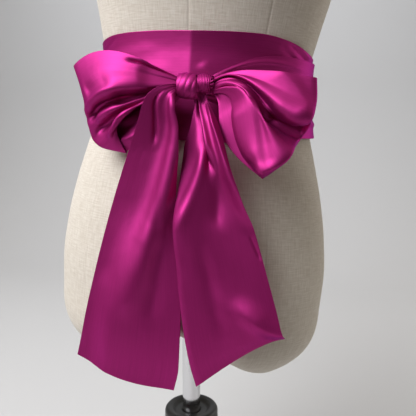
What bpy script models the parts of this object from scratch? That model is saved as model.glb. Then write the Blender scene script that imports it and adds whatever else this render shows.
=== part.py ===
"""A satin sash tied in a front bow round the waist of a limbless dress form on a short stand.

The sash is one straight strip of satin. Its middle lies across the front of the waist, both ends pass
round the sides, cross at the back, come forward again and are tied in a bow with two loops and two tails.
Each stretch that shows is its own wall. Tables are in centimetres: X to the wearer's left hand as seen
from the front (viewer's right), -Y to the front, and Z up from the waist line.
"""

import math
from collections import namedtuple

import bmesh
import bpy
import numpy as np

CM = 0.01

# Driving sizes, in centimetres.
CLOTH = 0.15  # wall of the doubled satin
SKIN_GAP = 0.10  # form to the first turn
TURN_GAP = 0.15  # one turn to the next
WAIST_HEIGHT = 64.5  # waist line above the floor
LEAN_HEIGHT = 42.0  # where the leaning form crosses the pole's axis
LEAN_DEGREES = 4.5  # the form leans to +X on its pole
POLE_RADIUS = 1.2
POLE_TOP = 50.0
POLE_IN_HUB = 1.5  # its lower end above the hub's foot
BORE_RADIUS = 2.4
BORE_TOP = 51.0
BORE_FOOT = 11.0
HUB_TOP = 22.2
HUB_RADIUS = 3.6
HUB_HEIGHT = 4.6
HUB_LIP = 0.5  # the sunk ring round the pole
HUB_WAIST = 2.3  # how far below its top it starts to narrow
FOOT_RADIUS = 1.7
BASE_RADIUS = 15.0
BASE_HEIGHT = 1.2
BASE_ROUND = 0.55
JOINT_GAP = 0.03

FIRST_TURN = SKIN_GAP + CLOTH / 2
SECOND_TURN = FIRST_TURN + CLOTH + TURN_GAP

FORM_SEGMENTS = 56
FORM_RINGS = 26
DOME_RINGS = 7

# The form, a ring for each height: half width, and depth in front of and behind the pole.
Ring = namedtuple("Ring", "height half_width front back")
FORM = (
    Ring(-26.0, 17.0, 11.5, 12.4),
    Ring(-22.0, 17.1, 11.7, 12.7),
    Ring(-17.0, 16.6, 11.5, 12.5),
    Ring(-12.0, 15.6, 10.9, 11.7),
    Ring(-8.0, 14.5, 10.2, 10.6),
    Ring(-4.0, 13.4, 9.4, 9.4),
    Ring(0.0, 12.8, 9.0, 8.8),
    Ring(3.0, 12.7, 9.0, 8.7),
    Ring(6.5, 13.3, 9.6, 9.0),
    Ring(11.0, 14.3, 10.8, 9.7),
    Ring(17.0, 15.4, 12.8, 10.3),
    Ring(22.0, 15.9, 11.9, 10.6),
    Ring(26.5, 17.0, 10.2, 10.2),
    Ring(29.5, 17.6, 8.7, 9.2),
    Ring(31.6, 15.6, 7.4, 8.0),
    Ring(33.4, 11.4, 6.4, 6.9),
    Ring(35.4, 7.4, 5.7, 6.0),
    Ring(38.0, 5.8, 5.2, 5.3),
    Ring(41.5, 5.5, 5.0, 5.0),
)
LOBE_DROP = 9.9  # how far the two rounded lobes reach below the lowest ring
NOTCH_DROP = 3.1  # the same at the centre, between them
NOTCH_HALF_WIDTH = 0.7  # as a share of the half width
DOME_FULLNESS = 0.69  # below 1, the bottom is squarer than an ellipse

# Turns of the sash round the waist. Angle 0 is the front centre, 90 the +X side. Lift is how far the
# middle of the cloth stands off the form.
Turn = namedtuple("Turn", "angle top bottom lift")
FRONT_TURN = (
    Turn(-104.0, 4.1, -4.3, FIRST_TURN),
    Turn(-85.0, 4.3, -4.7, FIRST_TURN),
    Turn(-65.0, 4.7, -5.2, FIRST_TURN),
    Turn(-42.0, 5.1, -5.7, FIRST_TURN),
    Turn(0.0, 5.35, -6.1, FIRST_TURN + 0.03),
    Turn(36.0, 5.6, -5.9, FIRST_TURN),
    Turn(52.0, 5.3, -5.5, FIRST_TURN),
    Turn(68.0, 4.7, -5.0, FIRST_TURN),
    Turn(85.0, 4.3, -4.7, FIRST_TURN),
    Turn(104.0, 4.1, -4.3, FIRST_TURN),
)
# From the -X side round the back, over the other end at the crossing, to the knot from +X.
RETURN_RIGHT = (
    Turn(-104.15, 4.1, -4.3, FIRST_TURN),
    Turn(-128.0, 4.8, -1.2, FIRST_TURN),
    Turn(-142.0, 5.4, 0.5, FIRST_TURN),
    Turn(-152.0, 5.4, 0.6, SECOND_TURN),
    Turn(-165.0, 4.9, -1.6, SECOND_TURN),
    Turn(-182.0, 4.2, -3.9, SECOND_TURN),
    Turn(-215.0, 4.1, -4.7, SECOND_TURN),
    Turn(-255.0, 3.9, -4.6, SECOND_TURN),
    Turn(-280.0, 3.7, -4.9, SECOND_TURN),
    Turn(-304.0, 3.7, -5.0, SECOND_TURN),
    Turn(-318.0, 3.5, -4.6, SECOND_TURN + 0.05),
    Turn(-328.0, 3.0, -3.8, SECOND_TURN + 0.3),
    Turn(-339.0, 1.9, -2.6, SECOND_TURN + 0.75),
    Turn(-350.0, 0.4, -1.6, SECOND_TURN + 1.0),
)
# From the +X side round the back, under the other end, then up and over it, to the knot from -X.
RETURN_LEFT = (
    Turn(104.15, 4.1, -4.3, FIRST_TURN),
    Turn(145.0, 4.2, -4.4, FIRST_TURN),
    Turn(178.0, 3.3, -4.6, FIRST_TURN),
    Turn(195.0, 1.5, -5.6, FIRST_TURN),
    Turn(208.0, -0.3, -6.3, FIRST_TURN),
    Turn(218.0, -0.3, -6.3, SECOND_TURN),
    Turn(232.0, 1.7, -6.0, SECOND_TURN),
    Turn(255.0, 3.8, -5.2, SECOND_TURN),
    Turn(275.0, 3.8, -5.0, SECOND_TURN),
    Turn(297.0, 3.1, -5.0, SECOND_TURN),
    Turn(314.0, 2.2, -4.6, SECOND_TURN + 0.05),
    Turn(325.0, 1.7, -3.8, SECOND_TURN + 0.3),
    Turn(337.0, 1.1, -2.6, SECOND_TURN + 0.7),
    Turn(348.0, 0.4, -1.6, SECOND_TURN + 1.0),
)

# Lines of a bow loop's front layer, from the top hem to the bottom hem. Each runs from the knot (0)
# through two stations (1, 2) to the outer fold (3). Share is its place across the cloth, and puff is
# how far the back layer lies behind it.
Line = namedtuple("Line", "share x0 z0 y0 x1 z1 y1 x2 z2 y2 x3 z3 y3 puff")
LOOP_LEFT = (
    Line(0.00, 0.3, 0.1, -11.6, -4.9, 2.0, -12.6, -8.8, 2.4, -12.3, -12.1, 0.9, -11.8, 1.9),
    Line(0.25, 0.3, -0.2, -11.8, -5.3, 0.4, -13.2, -8.7, -0.0, -13.2, -10.7, -1.8, -12.7, 2.3),
    Line(0.40, 0.4, -0.4, -11.9, -4.8, -1.2, -13.9, -7.6, -1.7, -14.1, -10.1, -3.6, -12.9, 1.8),
    Line(0.50, 0.3, -0.6, -11.5, -5.2, -2.1, -12.6, -8.1, -3.0, -12.3, -10.3, -4.9, -11.5, 1.5),
    Line(0.57, 0.3, -0.7, -11.7, -5.0, -2.7, -13.2, -7.8, -4.0, -12.9, -9.9, -5.6, -11.8, 1.4),
    Line(0.68, 0.3, -0.8, -11.6, -4.6, -3.0, -12.8, -7.2, -4.6, -12.4, -9.6, -6.7, -11.3, 0.9),
    Line(0.80, 0.3, -1.0, -11.7, -4.5, -3.3, -13.2, -6.5, -5.2, -13.1, -8.0, -7.6, -11.9, 0.9),
    Line(1.00, 0.3, -1.2, -11.6, -4.8, -3.4, -12.6, -6.5, -5.3, -12.6, -5.3, -7.9, -12.0, 0.8),
)
LOOP_RIGHT = (
    Line(0.00, 3.6, 0.3, -11.7, 7.0, 1.2, -12.9, 10.5, 1.1, -13.4, 13.7, 0.8, -13.4, 2.3),
    Line(0.17, 3.6, 0.2, -11.9, 7.2, 0.6, -13.2, 10.8, -0.5, -13.9, 13.9, -1.3, -14.0, 2.6),
    Line(0.32, 3.6, 0.0, -11.8, 6.9, 0.4, -13.5, 10.2, -1.6, -14.5, 13.7, -3.1, -14.7, 2.5),
    Line(0.38, 3.6, -0.1, -11.6, 6.8, 0.2, -12.7, 9.8, -2.1, -13.1, 13.6, -3.6, -13.5, 2.0),
    Line(0.50, 3.6, -0.4, -11.8, 7.0, -0.2, -12.9, 9.8, -3.0, -12.9, 12.8, -5.0, -12.8, 1.9),
    Line(0.63, 3.6, -0.6, -11.8, 7.1, -0.7, -13.9, 9.6, -3.7, -14.7, 11.6, -6.9, -14.5, 1.5),
    Line(0.78, 3.6, -0.9, -11.9, 7.0, -0.9, -13.9, 8.7, -4.0, -14.4, 10.3, -8.4, -14.7, 1.5),
    Line(1.00, 3.6, -1.2, -11.8, 5.8, -1.9, -12.9, 6.6, -4.8, -13.2, 9.6, -9.1, -13.9, 0.8),
)
LoopShape = namedtuple("LoopShape", "lines back_x back_z")
LOOPS = {
    "bow_loop_left": LoopShape(LOOP_LEFT, 3.4, -2.0),  # back: how far its lower hem hangs aside
    "bow_loop_right": LoopShape(LOOP_RIGHT, -1.5, -1.2),
}
KNOT_SPREAD = 0.42  # front layer to back layer where a loop enters the knot
REACH_POWER = 0.85  # below 1, a loop widens sooner from the knot
OPEN_BY = 0.4  # share of the reach over which the layers part
BUNCHING = 0.55  # how much the grid's lines gather towards the knot and the fold

# Sections of a hanging tail from the knot down: both edges, their depths, and one long fold, where it
# lies across the cloth and how far it stands forward.
Section = namedtuple("Section", "along xl zl yl xr zr yr fold_at fold")
TAIL_LEFT = (
    Section(0.00, 0.35, -0.35, -12.2, 0.2, -1.0, -12.2, 0.7, 0.0),
    Section(0.06, -1.4, -0.8, -13.4, 0.0, -2.0, -12.9, 0.9, 0.3),
    Section(0.11, -2.8, -2.0, -13.7, 0.1, -3.0, -12.5, 0.98, 0.7),
    Section(0.19, -3.6, -4.4, -13.3, 0.55, -4.9, -12.0, 0.98, 0.9),
    Section(0.29, -4.7, -7.6, -12.6, 0.65, -7.6, -11.8, 0.92, 1.0),
    Section(0.44, -6.2, -13.0, -12.4, 0.7, -13.0, -11.8, 0.78, 1.0),
    Section(0.62, -7.5, -19.0, -12.5, 1.4, -19.0, -12.0, 0.56, 0.7),
    Section(0.78, -8.5, -24.2, -12.5, 2.1, -25.0, -12.1, 0.38, 0.4),
    Section(0.92, -9.4, -29.0, -12.3, 2.2, -31.0, -12.0, 0.30, 0.2),
    Section(1.00, -9.9, -31.5, -12.2, 1.8, -33.9, -11.9, 0.28, 0.1),
)
TAIL_RIGHT = (
    Section(0.00, 1.5, -1.1, -11.7, 2.9, -0.9, -11.7, 0.5, 0.0),
    Section(0.05, 1.8, -2.4, -11.6, 3.2, -1.9, -11.7, 0.45, 0.0),
    Section(0.12, 1.6, -4.3, -11.6, 4.5, -3.8, -12.6, 0.47, 0.5),
    Section(0.20, 1.0, -7.0, -11.6, 5.9, -6.6, -13.0, 0.50, 0.8),
    Section(0.33, 0.9, -11.3, -11.9, 7.9, -11.2, -12.9, 0.30, 0.9),
    Section(0.45, 1.0, -15.5, -12.9, 9.5, -15.2, -12.6, 0.12, 0.4),
    Section(0.60, 1.7, -20.5, -12.9, 11.1, -19.5, -12.6, 0.4, -0.2),
    Section(0.75, 2.5, -25.4, -12.7, 12.3, -22.8, -12.5, 0.6, 0.3),
    Section(0.90, 3.6, -30.2, -12.5, 13.0, -24.8, -12.4, 0.65, 0.3),
    Section(1.00, 4.4, -32.7, -12.3, 13.4, -25.6, -12.3, 0.65, 0.1),
)
TailShape = namedtuple("TailShape", "sections hem_sag")
TAILS = {
    "tail_left": TailShape(TAIL_LEFT, -0.9),
    "tail_right": TailShape(TAIL_RIGHT, 0.5),
}
FOLD_HALF_WIDTH = 0.22

# Wraps of the knot: bands over the front of a short lying barrel, open behind and below.
Wrap = namedtuple("Wrap", "left_top left_bottom right_top right_bottom centre_y centre_z deep tall")
WRAPS = {
    "knot_wrap_left": Wrap(-0.05, 0.25, 1.78, 2.28, -11.7, -0.62, 1.45, 1.35),
    "knot_wrap_right": Wrap(1.95, 2.42, 3.55, 3.45, -11.65, -0.25, 1.25, 0.98),
}
WRAP_FROM = -120.0  # behind the top
WRAP_TO = 68.0  # under the front
WRAP_CROWN = 0.18
CROWN_POWER = 0.7

LINEN = ((0.58, 0.53, 0.44), 0.9, 0.0)
SATIN = ((0.42, 0.03, 0.20), 0.35, 0.0)
CHROME = ((0.72, 0.72, 0.73), 0.12, 1.0)
BLACK_PLASTIC = ((0.012, 0.012, 0.013), 0.5, 0.0)


def clear_scene():
    for obj in list(bpy.data.objects):
        bpy.data.objects.remove(obj)


def make_collection(name, hidden=False):
    collection = bpy.data.collections.new(name)
    collection.hide_render = hidden
    bpy.context.scene.collection.children.link(collection)
    return collection


def material(name, finish):
    """A plain Principled finish: colour, roughness and metallic."""
    colour, roughness, metallic = finish
    made = bpy.data.materials.new(name)
    made.use_nodes = True
    shader = made.node_tree.nodes["Principled BSDF"]
    shader.inputs["Base Color"].default_value = (*colour, 1.0)
    shader.inputs["Roughness"].default_value = roughness
    shader.inputs["Metallic"].default_value = metallic
    return made


def through(at, rows, column, first="along"):
    """A smooth curve through one column of a table that never swings past its rows."""
    place = np.array([getattr(row, first) for row in rows], float)
    value = np.array([getattr(row, column) for row in rows], float)
    if place[0] > place[-1]:
        place, value = place[::-1], value[::-1]
    step = np.diff(place)
    rise = np.diff(value) / step
    slope = np.zeros(len(place))
    same_way = rise[:-1] * rise[1:] > 0
    mean = 2 * rise[:-1] * rise[1:] / np.where(same_way, rise[:-1] + rise[1:], 1.0)
    slope[1:-1] = np.where(same_way, mean, 0.0)
    slope[0], slope[-1] = rise[0], rise[-1]
    at = np.clip(np.asarray(at, float), place[0], place[-1])
    i = np.clip(np.searchsorted(place, at) - 1, 0, len(step) - 1)
    t = (at - place[i]) / step[i]
    ends = value[i] * (1 + 2 * t) * (1 - t) ** 2 + value[i + 1] * (3 - 2 * t) * t**2
    bends = step[i] * t * (1 - t) * (slope[i] * (1 - t) - slope[i + 1] * t)
    return ends + bends


def bump(distance):
    """1 at no distance, falling softly to 0 either side."""
    return np.exp(-(distance**2))


def form_point(angle, height, off=0.0):
    """A point of the form at an angle round it and a height, moved out by off."""
    width = through(height, FORM, "half_width", "height") + off
    front = through(height, FORM, "front", "height") + off
    back = through(height, FORM, "back", "height") + off
    turn = np.radians(angle)
    depth = np.where(np.cos(turn) > 0, front, back)
    return np.stack([width * np.sin(turn), -depth * np.cos(turn), height + 0 * turn], -1)


def turn_surface(rows, along, across):
    """A turn of the sash: its angle runs along it, and its height from bottom to top across it."""
    first, last = rows[0].angle, rows[-1].angle
    angle = first + (last - first) * along
    top = through(angle, rows, "top", "angle")
    bottom = through(angle, rows, "bottom", "angle")
    lift = through(angle, rows, "lift", "angle")
    return form_point(angle, bottom + (top - bottom) * across, lift)


def loop_surface(shape, along, across):
    """A bow loop: out from the knot along its front layer, round the outer fold and back behind.

    Each line across the cloth is a cubic through four stations. Reach goes 0, 1, 0 along the whole
    loop as a sine, so the outer fold comes out round.
    """
    turn = np.pi * along
    reach = np.sin(turn) ** REACH_POWER
    behind = (1 - np.cos(turn)) / 2
    weights = (
        (1 - 3 * reach) * (2 - 3 * reach) * (1 - reach) / 2,
        9 * reach * (2 - 3 * reach) * (1 - reach) / 2,
        9 * reach * (3 * reach - 1) * (1 - reach) / 2,
        reach * (3 * reach - 1) * (3 * reach - 2) / 2,
    )
    point = [
        sum(w * through(across, shape.lines, f"{axis}{k}", "share") for k, w in enumerate(weights))
        for axis in "xyz"
    ]
    puff = through(across, shape.lines, "puff", "share")
    open_up = np.clip(reach / OPEN_BY, 0, 1)
    open_up = open_up * open_up * (3 - 2 * open_up)
    room = KNOT_SPREAD + (puff - KNOT_SPREAD) * open_up
    middle = 4 * reach * (1 - reach)
    hang = behind * middle * across**2
    point[0] = point[0] + shape.back_x * hang
    point[1] = point[1] + room * behind
    point[2] = point[2] + shape.back_z * hang
    return np.stack(point, -1)


def tail_surface(shape, along, across):
    """A hanging tail: a straight line across between its edges, with a long fold standing forward."""
    rows = shape.sections
    edge = {
        name: through(along, rows, name) for name in ("xl", "yl", "zl", "xr", "yr", "zr", "fold_at", "fold")
    }
    x = edge["xl"] + (edge["xr"] - edge["xl"]) * across
    y = edge["yl"] + (edge["yr"] - edge["yl"]) * across
    z = edge["zl"] + (edge["zr"] - edge["zl"]) * across
    y = y - edge["fold"] * bump((across - edge["fold_at"]) / FOLD_HALF_WIDTH)
    z = z + shape.hem_sag * np.sin(np.pi * across) * along**6
    return np.stack([x, y, z], -1)


def wrap_surface(shape, along, across):
    """A wrap of the knot: round the barrel along it, from side to side across it, crowned between."""
    angle = np.radians(WRAP_FROM + (WRAP_TO - WRAP_FROM) * along)
    left = shape.left_top + (shape.left_bottom - shape.left_top) * along
    right = shape.right_top + (shape.right_bottom - shape.right_top) * along
    crown = WRAP_CROWN * (np.sin(np.pi * across) ** CROWN_POWER - 1)
    x = left + (right - left) * across
    y = shape.centre_y - (shape.deep + crown) * np.cos(angle)
    z = shape.centre_z - (shape.tall + crown) * np.sin(angle)
    return np.stack([x, y, z], -1)


def grid_of(surface, shape, lengthwise, crosswise, ease=False):
    """The surface's points on a grid. With ease, more of them lie towards the knot and the fold."""
    u = np.linspace(0, 1, lengthwise + 1)
    if ease:
        u = u - BUNCHING * np.sin(4 * np.pi * u) / (4 * np.pi)
    v = np.linspace(0, 1, crosswise + 1)
    along, across = np.meshgrid(u, v, indexing="ij")
    return surface(shape, along, across)


def mesh_from(name, points, faces, collection, finish, up):
    """An object of these points in centimetres, on the lean where up is given."""
    mesh = bpy.data.meshes.new(name)
    mesh.from_pydata((np.asarray(points) * CM).tolist(), [], faces)
    built = bmesh.new()
    built.from_mesh(mesh)
    bmesh.ops.recalc_face_normals(built, faces=built.faces)
    built.to_mesh(mesh)
    built.free()
    mesh.materials.append(finish)
    mesh.shade_smooth()
    obj = bpy.data.objects.new(name, mesh)
    collection.objects.link(obj)
    obj.parent = up
    obj.location = (0, 0, (WAIST_HEIGHT - LEAN_HEIGHT) * CM)
    return obj


def cloth(name, grid, collection, finish, up):
    """A wall of cloth, with the grid as its middle."""
    rows, columns = grid.shape[:2]
    faces = [
        (i * columns + j, (i + 1) * columns + j, (i + 1) * columns + j + 1, i * columns + j + 1)
        for i in range(rows - 1)
        for j in range(columns - 1)
    ]
    obj = mesh_from(name, grid.reshape(-1, 3), faces, collection, finish, up)
    wall = obj.modifiers.new("Cloth wall", "SOLIDIFY")
    wall.thickness = CLOTH * CM
    wall.offset = 0.0
    return obj


def dress_form(collection, cutters, finish, up):
    """The torso: rings from the neck down, a domed bottom with two lobes, and a bore for the pole."""
    angle = np.linspace(0, 360, FORM_SEGMENTS, endpoint=False)
    heights = np.linspace(FORM[-1].height, FORM[0].height, FORM_RINGS)
    rings = [form_point(angle, np.full_like(angle, height)) for height in heights]
    lowest = rings[-1]
    for step in range(1, DOME_RINGS):
        turn = step / DOME_RINGS * math.pi / 2
        ring = lowest * math.cos(turn)
        share = np.clip(np.abs(ring[:, 0]) / FORM[0].half_width / NOTCH_HALF_WIDTH, 0, 1)
        lobe = share * share * (3 - 2 * share)
        drop = NOTCH_DROP + (LOBE_DROP - NOTCH_DROP) * lobe
        ring[:, 2] = FORM[0].height - drop * math.sin(turn) ** DOME_FULLNESS
        rings.append(ring)
    points = np.concatenate([*rings, [[0, 0, FORM[-1].height], [0, 0, FORM[0].height - NOTCH_DROP]]])
    n = FORM_SEGMENTS
    top, bottom = len(points) - 2, len(points) - 1
    faces = [
        (i * n + j, i * n + (j + 1) % n, (i + 1) * n + (j + 1) % n, (i + 1) * n + j)
        for i in range(len(rings) - 1)
        for j in range(n)
    ]
    last = (len(rings) - 1) * n
    faces += [(j, (j + 1) % n, top) for j in range(n)]
    faces += [(last + j, last + (j + 1) % n, bottom) for j in range(n)]
    form = mesh_from("dress_form", points, faces, collection, finish, up)
    bpy.ops.mesh.primitive_cylinder_add(
        vertices=24,
        radius=BORE_RADIUS * CM,
        depth=(BORE_TOP - BORE_FOOT) * CM,
        location=(0, 0, (BORE_TOP + BORE_FOOT) / 2 * CM),
    )
    cutter = bpy.context.object
    cutter.name = "pole_bore_cutter"
    for owner in list(cutter.users_collection):
        owner.objects.unlink(cutter)
    cutters.objects.link(cutter)
    cutter.display_type = "WIRE"
    cutter.hide_render = True
    bore = form.modifiers.new("Pole bore", "BOOLEAN")
    bore.operation = "DIFFERENCE"
    bore.object = cutter
    return form


def turned(name, profile, collection, finish, steps=40):
    """A turned piece: a profile of (radius, height) from the top down, swept round the Z axis."""
    mesh = bpy.data.meshes.new(name)
    points = [(radius * CM, 0.0, height * CM) for radius, height in profile]
    mesh.from_pydata(points, [(i, i + 1) for i in range(len(points) - 1)], [])
    mesh.materials.append(finish)
    obj = bpy.data.objects.new(name, mesh)
    collection.objects.link(obj)
    screw = obj.modifiers.new("Turn", "SCREW")
    screw.steps = steps
    screw.render_steps = steps
    screw.use_merge_vertices = True
    screw.merge_threshold = 0.00001
    screw.use_smooth_shade = True
    return obj


def stand(collection, chrome, plastic):
    """The pole, the hub that clamps it, and a flat round base on a short foot tube."""
    bore = POLE_RADIUS + JOINT_GAP
    hub_foot = HUB_TOP - HUB_HEIGHT
    pole_foot = hub_foot + POLE_IN_HUB
    turned(
        "stand_pole",
        ((0, POLE_TOP), (POLE_RADIUS, POLE_TOP), (POLE_RADIUS, pole_foot), (0, pole_foot)),
        collection,
        chrome,
    )
    turned(
        "stand_hub",
        (
            (bore, HUB_TOP - HUB_LIP),
            (bore + 1, HUB_TOP - HUB_LIP),
            (bore + 1.3, HUB_TOP - HUB_LIP / 3),
            (HUB_RADIUS - 0.35, HUB_TOP),
            (HUB_RADIUS - 0.1, HUB_TOP - 0.12),
            (HUB_RADIUS, HUB_TOP - 0.45),
            (HUB_RADIUS, HUB_TOP - HUB_WAIST),
            (HUB_RADIUS - 0.5, HUB_TOP - HUB_WAIST - 0.6),
            (bore + 1.2, hub_foot + 0.5),
            (bore + 1, hub_foot),
            (bore, hub_foot),
            (bore, HUB_TOP - HUB_LIP),
        ),
        collection,
        plastic,
    )
    turned(
        "stand_tube",
        (
            (0, hub_foot - JOINT_GAP),
            (FOOT_RADIUS, hub_foot - JOINT_GAP),
            (FOOT_RADIUS, BASE_HEIGHT + JOINT_GAP),
            (0, BASE_HEIGHT + JOINT_GAP),
        ),
        collection,
        chrome,
    )
    turned(
        "stand_base",
        (
            (0, BASE_HEIGHT),
            (BASE_RADIUS - 0.9, BASE_HEIGHT),
            (BASE_RADIUS - BASE_ROUND / 2, BASE_HEIGHT - BASE_ROUND / 3),
            (BASE_RADIUS, BASE_HEIGHT - BASE_ROUND),
            (BASE_RADIUS, 0.0),
            (0, 0.0),
        ),
        collection,
        chrome,
        steps=64,
    )


def main():
    clear_scene()
    parts = make_collection("Satin sash on a dress form")
    cutters = make_collection("Cutters", hidden=True)
    linen = material("Linen", LINEN)
    satin = material("Satin", SATIN)
    chrome = material("Chrome", CHROME)
    plastic = material("Black plastic", BLACK_PLASTIC)

    lean = bpy.data.objects.new("lean", None)
    lean.location = (0, 0, LEAN_HEIGHT * CM)
    lean.rotation_euler = (0, math.radians(LEAN_DEGREES), 0)
    parts.objects.link(lean)

    dress_form(parts, cutters, linen, lean)
    cloth("sash_front", grid_of(turn_surface, FRONT_TURN, 34, 4), parts, satin, lean)
    cloth("sash_return_right", grid_of(turn_surface, RETURN_RIGHT, 50, 4), parts, satin, lean)
    cloth("sash_return_left", grid_of(turn_surface, RETURN_LEFT, 50, 4), parts, satin, lean)
    for name, shape in LOOPS.items():
        cloth(name, grid_of(loop_surface, shape, 26, 12, ease=True), parts, satin, lean)
    for name, shape in TAILS.items():
        cloth(name, grid_of(tail_surface, shape, 20, 10), parts, satin, lean)
    for name, shape in WRAPS.items():
        cloth(name, grid_of(wrap_surface, shape, 12, 6), parts, satin, lean)
    stand(parts, chrome, plastic)


main()
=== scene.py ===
# %% Load the fixed frame
import math
from collections import namedtuple

import bpy
import numpy as np
from mathutils import Matrix, Vector


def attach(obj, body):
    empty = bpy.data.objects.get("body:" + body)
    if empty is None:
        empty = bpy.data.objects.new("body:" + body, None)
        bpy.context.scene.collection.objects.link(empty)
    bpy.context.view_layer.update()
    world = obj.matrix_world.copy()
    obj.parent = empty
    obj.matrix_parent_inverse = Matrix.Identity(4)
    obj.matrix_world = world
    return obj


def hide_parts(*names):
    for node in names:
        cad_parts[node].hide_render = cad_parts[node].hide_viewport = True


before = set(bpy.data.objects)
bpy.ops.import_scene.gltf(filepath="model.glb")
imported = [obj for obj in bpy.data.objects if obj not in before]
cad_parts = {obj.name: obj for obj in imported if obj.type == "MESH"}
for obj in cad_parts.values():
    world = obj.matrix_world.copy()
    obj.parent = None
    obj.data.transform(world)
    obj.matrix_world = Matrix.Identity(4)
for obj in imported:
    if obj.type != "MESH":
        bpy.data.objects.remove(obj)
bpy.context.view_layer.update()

# %% [markdown]
# This is a satin sash tied in a big soft bow round the waist of a dress form. The solids that came in with
# the frame give the true sizes and places. Everything below is the fine surface that is seen: cloth as thin
# closed shells with their folds, the linen-covered form, and the turned metal and plastic of the stand.
#
# The form leans a little on its pole. It is easiest to shape everything upright, in centimetres from the
# waist line, and to lean the finished points once at the end. The lean could be left on the objects, but a
# pattern on object coordinates, and the other tools that read the meshes, want every object at the origin.

# %% Centimetres from the waist, and the lean
CM = 0.01
WAIST_HEIGHT = 64.5
LEAN_HEIGHT = 42.0  # where the leaning form crosses the pole's axis
LEAN = math.radians(4.5)


def in_the_room(points):
    """Turns points by the lean about the Y axis at LEAN_HEIGHT, and gives them in metres."""
    x, y, z = points[..., 0], points[..., 1], points[..., 2] + WAIST_HEIGHT - LEAN_HEIGHT
    leaned_x = x * math.cos(LEAN) + z * math.sin(LEAN)
    leaned_z = z * math.cos(LEAN) - x * math.sin(LEAN) + LEAN_HEIGHT
    return np.stack([leaned_x, y, leaned_z], -1) * CM


# %% [markdown]
# The camera stands a little to the right of the front, just below the waist, and looks slightly down. It
# comes early, because everything after it is judged through it. A matrix built from the three directions
# says exactly where it looks, where a Track To constraint would need a target object.

# %% Camera
CAMERA_TURN = math.radians(12.0)
CAMERA_PITCH = math.radians(8.0)
CAMERA_AT = (0.1563, -0.6260, 0.5860)
LENS_MM = 43.4
SENSOR_MM = 36.0

level = Vector((-math.sin(CAMERA_TURN), math.cos(CAMERA_TURN), 0))
looks = level * math.cos(CAMERA_PITCH) - Vector((0, 0, math.sin(CAMERA_PITCH)))
upward = level * math.sin(CAMERA_PITCH) + Vector((0, 0, math.cos(CAMERA_PITCH)))
sideways = looks.cross(upward)
camera_data = bpy.data.cameras.new("camera")
camera_data.lens, camera_data.sensor_width = LENS_MM, SENSOR_MM
camera_data.clip_start = 0.01
camera = bpy.data.objects.new("camera", camera_data)
bpy.context.scene.collection.objects.link(camera)
axes = Matrix((sideways, upward, -looks)).transposed().to_4x4()
camera.matrix_world = Matrix.Translation(CAMERA_AT) @ axes
bpy.context.scene.camera = camera

# %% [markdown]
# Colours are easiest to choose as the hex values that a screen shows. Blender's shaders work in linear
# light, so one function turns them. Another adds a node with its settings and its links in one go, which
# keeps every material below short enough to read.

# %% Colour and node helpers
def linear(hex_colour):
    """An sRGB hex colour as linear RGBA.

    A channel below 0.04045 is divided by 12.92, and one above it follows a power of 2.4.
    """
    channels = [int(hex_colour[i : i + 2], 16) / 255 for i in (1, 3, 5)]
    lit = [c / 12.92 if c <= 0.04045 else ((c + 0.055) / 1.055) ** 2.4 for c in channels]
    return (*lit, 1.0)


def add_node(tree, kind, settings=None, **inputs):
    """Adds a node. Settings are its own options. An input is a value, or a socket to link from, by name."""
    node = tree.nodes.new(kind)
    for name, value in (settings or {}).items():
        setattr(node, name, value)
    for name, value in inputs.items():
        socket = node.inputs[int(name[1:])] if name[1:].isdigit() else node.inputs[name.replace("_", " ")]
        if isinstance(value, bpy.types.NodeSocket):
            tree.links.new(value, socket)
        else:
            socket.default_value = value
    return node


def new_material(name, **shader):
    """A material with one Principled shader, its constant values set on its own sockets."""
    made = bpy.data.materials.new(name)
    made.use_nodes = True
    made.node_tree.nodes.clear()
    principled = add_node(made.node_tree, "ShaderNodeBsdfPrincipled", None, **shader)
    add_node(made.node_tree, "ShaderNodeOutputMaterial", None, Surface=principled.outputs[0])
    return made, made.node_tree, principled


# %% [markdown]
# Satin is woven so that long warp threads float over the weft. Light glances off those floats as off brushed
# metal, so a fold goes from hot pink to deep wine within a finger's width. A plain cloth shader is too flat
# for that, and a pure metal too hard. Here most of the shine takes the dye's colour, as metal does, in a
# broad highlight, and a lilac tint cools it where the cloth turns away. The metallic value, the index and
# the tint are given values, not polyester's own. The floats show as hair-fine streaks along the strip,
# drawn from the piece's own UV map, which is in metres of cloth.

# %% Satin, woven polyester with a dyed warp face
STREAK_ACROSS_MM = 1.3  # thread floats are 0.1 mm apart, drawn this coarse so that they show
STREAK_ALONG_MM = 38.0
CRUMPLE_MM = 26.0  # soft unevenness left by handling

satin, tree, shader = new_material(
    "satin woven polyester",
    Metallic=0.84,
    Roughness=0.53,
    IOR=2.4,
    Specular_IOR_Level=1.0,
    Specular_Tint=linear("#B4ACFF"),
)
cloth_map = add_node(tree, "ShaderNodeUVMap", {"uv_map": "cloth"})
along_threads = add_node(
    tree,
    "ShaderNodeMapping",
    Vector=cloth_map.outputs[0],
    Scale=(1000 / STREAK_ALONG_MM, 1000 / STREAK_ACROSS_MM, 1.0),
)
streaks = add_node(tree, "ShaderNodeTexNoise", Vector=along_threads.outputs[0], Scale=1.0, Detail=3.0)
crumple = add_node(
    tree, "ShaderNodeTexNoise", Vector=cloth_map.outputs[0], Scale=1000 / CRUMPLE_MM, Detail=2.0
)
dye = add_node(
    tree,
    "ShaderNodeMix",
    {"data_type": "RGBA"},
    _0=streaks.outputs[0],
    _6=linear("#A20C5E"),
    _7=linear("#BB1876"),
)
tree.links.new(dye.outputs[2], shader.inputs["Base Color"])
soft = add_node(tree, "ShaderNodeBump", Strength=0.3, Distance=0.0012, Height=crumple.outputs[0])
fine = add_node(
    tree, "ShaderNodeBump", Strength=0.22, Distance=0.0002, Height=streaks.outputs[0], Normal=soft.outputs[0]
)
tree.links.new(fine.outputs[0], shader.inputs["Normal"])

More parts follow.
